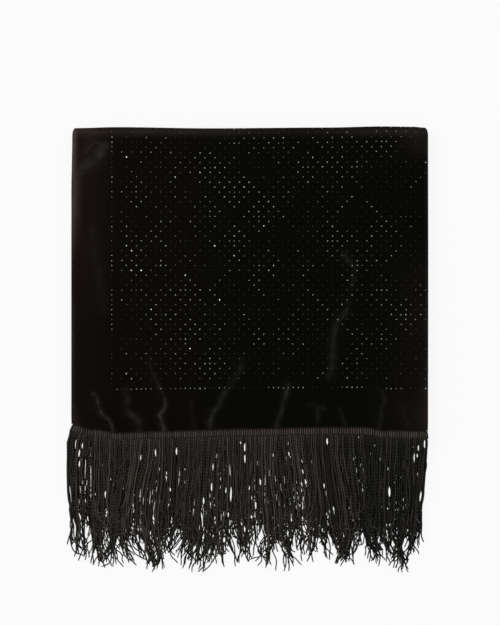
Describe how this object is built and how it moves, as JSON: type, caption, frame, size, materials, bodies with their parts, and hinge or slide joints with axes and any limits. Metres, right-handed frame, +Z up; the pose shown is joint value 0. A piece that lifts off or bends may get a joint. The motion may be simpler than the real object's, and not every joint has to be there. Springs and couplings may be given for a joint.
{
  "type": "fringed velvet shawl",
  "caption": "Velvet shawl with crystal studs and a cord fringe, folded in half lengthwise, rolled flat and laid down with its fringed end on top.",
  "frame": {"origin": "on the underside that rests on the surface, halfway across the folded width and halfway between the top fold and the hem", "axes": "+X towards the lengthwise fold, +Y from the fringed hem towards the top fold, +Z up from the surface that it lies on"},
  "size_m": [0.3569, 0.4379, 0.0184],
  "materials": {
    "velvet": "matt black pile with a soft sheen where it curves away",
    "fringe_cord": "warm black twisted rayon, a low sheen",
    "crystal": "faceted, foiled on the back, bright silver"
  },
  "bodies": {
    "root": {"velvet_cloth": "velvet", "inner_layers": "velvet", "fringe_trim": "fringe_cord"}
  },
  "joints": []
}
